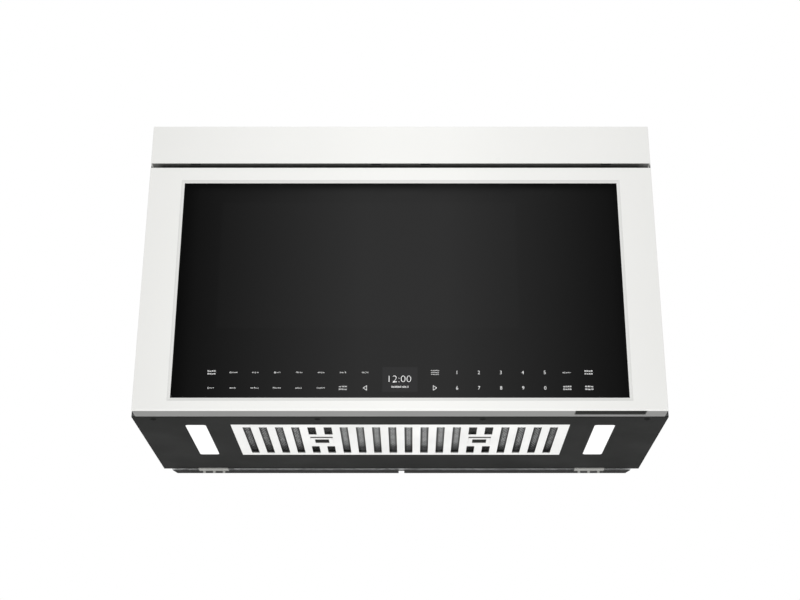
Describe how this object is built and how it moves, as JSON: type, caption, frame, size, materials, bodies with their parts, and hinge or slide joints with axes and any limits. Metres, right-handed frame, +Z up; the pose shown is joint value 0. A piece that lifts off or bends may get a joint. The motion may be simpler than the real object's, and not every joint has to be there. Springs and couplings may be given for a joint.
{
  "type": "over-the-range microwave oven",
  "caption": "Wall-hung microwave oven with a vent hood in its base, full-width white door with black glass, touch band, grease filter, lamps and exhaust collar.",
  "frame": {"origin": "on the wall, at the rear face of the wall plate, on the centre line, level with the cabinet's underside", "axes": "+X to the right seen from the front, +Y into the wall, +Z up"},
  "size_m": [0.76, 0.3515, 0.4737],
  "materials": {
    "white_paint": "smooth baked white enamel",
    "cover_paint": "satin white powder coat",
    "dark_paint": "fine-textured charcoal powder coat",
    "face_paint": "satin dark grey paint",
    "wall_plate_steel": "black phosphate",
    "galvanised": "spangled zinc",
    "zinc": "bright zinc plate",
    "steel": "ground",
    "dark_screw": "black zinc",
    "core_steel": "varnished laminations",
    "can_aluminium": "drawn",
    "mesh_aluminium": "expanded mesh",
    "choke_steel": "black enamel",
    "oven_enamel": "grey enamel",
    "ceramic": "glazed flat",
    "charcoal": "granules behind mesh",
    "black_plastic": "fine grain",
    "grey_plastic": "fine grain",
    "door_grey": "satin",
    "white_plastic": "fine grain",
    "circuit_board": "solder mask",
    "display": "gloss",
    "black_glass": "dark tinted, polished",
    "clear_glass": "clear",
    "lamp_lens": "frosted, lit"
  },
  "bodies": {
    "cabinet": {"side_panels": "dark_paint", "top_panel": "dark_paint", "base_plate": "dark_paint", "back_panel": "galvanised", "face_plate": "face_paint", "vent_panel": "white_paint", "vent_louvre": "black_plastic", "charcoal_filter": "charcoal", "cabinet_nuts": "zinc", "cord_bushing": "black_plastic", "base_screws": "dark_screw", "back_screws": "zinc", "wall_plate": "wall_plate_steel", "support_tabs": "zinc", "lamp_lenses": "lamp_lens", "lamp_boards": "circuit_board", "hinge_brackets": "zinc", "hinge_pins": "steel", "latch_board": "white_plastic", "microswitches": "black_plastic", "cavity": "oven_enamel", "ceramic_floor": "ceramic", "waveguide": "galvanised", "stirrer_motor": "galvanised", "cavity_lamp": "white_plastic", "thermal_cutouts": "zinc", "component_shelf": "galvanised", "magnetron": "galvanised", "transformer": "core_steel", "capacitor": "can_aluminium", "power_board": "circuit_board", "fan_shroud": "black_plastic", "cooling_fan_motor": "core_steel", "convection_housing": "galvanised", "convection_heater": "steel", "convection_motor": "core_steel", "blower_housing": "galvanised", "blower_motor": "core_steel", "exhaust_adapter": "galvanised"},
    "door": {"door_frame": "white_paint", "door_glass": "black_glass", "door_back_cover": "door_grey", "choke_panel": "choke_steel", "choke_cover": "black_plastic", "inner_window": "clear_glass", "touch_board": "circuit_board", "display_module": "display", "pull_cup": "grey_plastic", "hinge_blocks": "zinc", "latch_spring": "steel"},
    "latch": {"latch_lever": "white_plastic"},
    "filter": {"filter_cover": "cover_paint", "filter_meshes": "mesh_aluminium"},
    "left_latch": {"left_filter_latch": "cover_paint"},
    "right_latch": {"right_filter_latch": "cover_paint"},
    "flap": {"damper_flap": "galvanised"},
    "antenna": {"stirrer": "steel"},
    "fan": {"cooling_fan": "black_plastic"},
    "hot_fan": {"convection_fan": "steel"},
    "blower": {"blower_wheels": "black_plastic"}
  },
  "joints": [
    {"name": "door_hinge", "type": "hinge", "parent": "cabinet", "child": "door", "pos_m": [-0.368, -0.335, 0.1865], "axis": [0, 0, -1], "range_deg": [0, 100]},
    {"name": "latch_lift", "type": "slide", "parent": "door", "child": "latch", "axis": [0, 0, 1], "range_m": [0, 0.004], "stiffness_N_per_m": 150, "springref_m": -0.004, "deforming": ["latch_spring"]},
    {"name": "filter_hinge", "type": "hinge", "parent": "cabinet", "child": "filter", "pos_m": [0, -0.2716, 0.0006], "axis": [-1, 0, 0], "range_deg": [0, 85]},
    {"name": "left_filter_latch", "type": "slide", "parent": "filter", "child": "left_latch", "axis": [0, -1, 0], "range_m": [0, 0.007], "stiffness_N_per_m": 200, "springref_m": -0.003},
    {"name": "right_filter_latch", "type": "slide", "parent": "filter", "child": "right_latch", "axis": [0, -1, 0], "range_m": [0, 0.007], "stiffness_N_per_m": 200, "springref_m": -0.003},
    {"name": "damper_hinge", "type": "hinge", "parent": "cabinet", "child": "flap", "pos_m": [0, -0.0801, 0.454], "axis": [-1, 0, 0], "range_deg": [0, 80]},
    {"name": "stirrer_spin", "type": "hinge", "parent": "cabinet", "child": "antenna", "pos_m": [-0.0475, -0.171, 0.095], "axis": [0, 0, 1], "continuous": true},
    {"name": "cooling_fan_spin", "type": "hinge", "parent": "cabinet", "child": "fan", "pos_m": [0.262, -0.0725, 0.14], "axis": [0, 1, 0], "continuous": true},
    {"name": "convection_fan_spin", "type": "hinge", "parent": "cabinet", "child": "hot_fan", "pos_m": [-0.3, -0.171, 0.22], "axis": [1, 0, 0], "continuous": true},
    {"name": "blower_spin", "type": "hinge", "parent": "cabinet", "child": "blower", "pos_m": [0, -0.11, 0.3828], "axis": [1, 0, 0], "continuous": true}
  ]
}
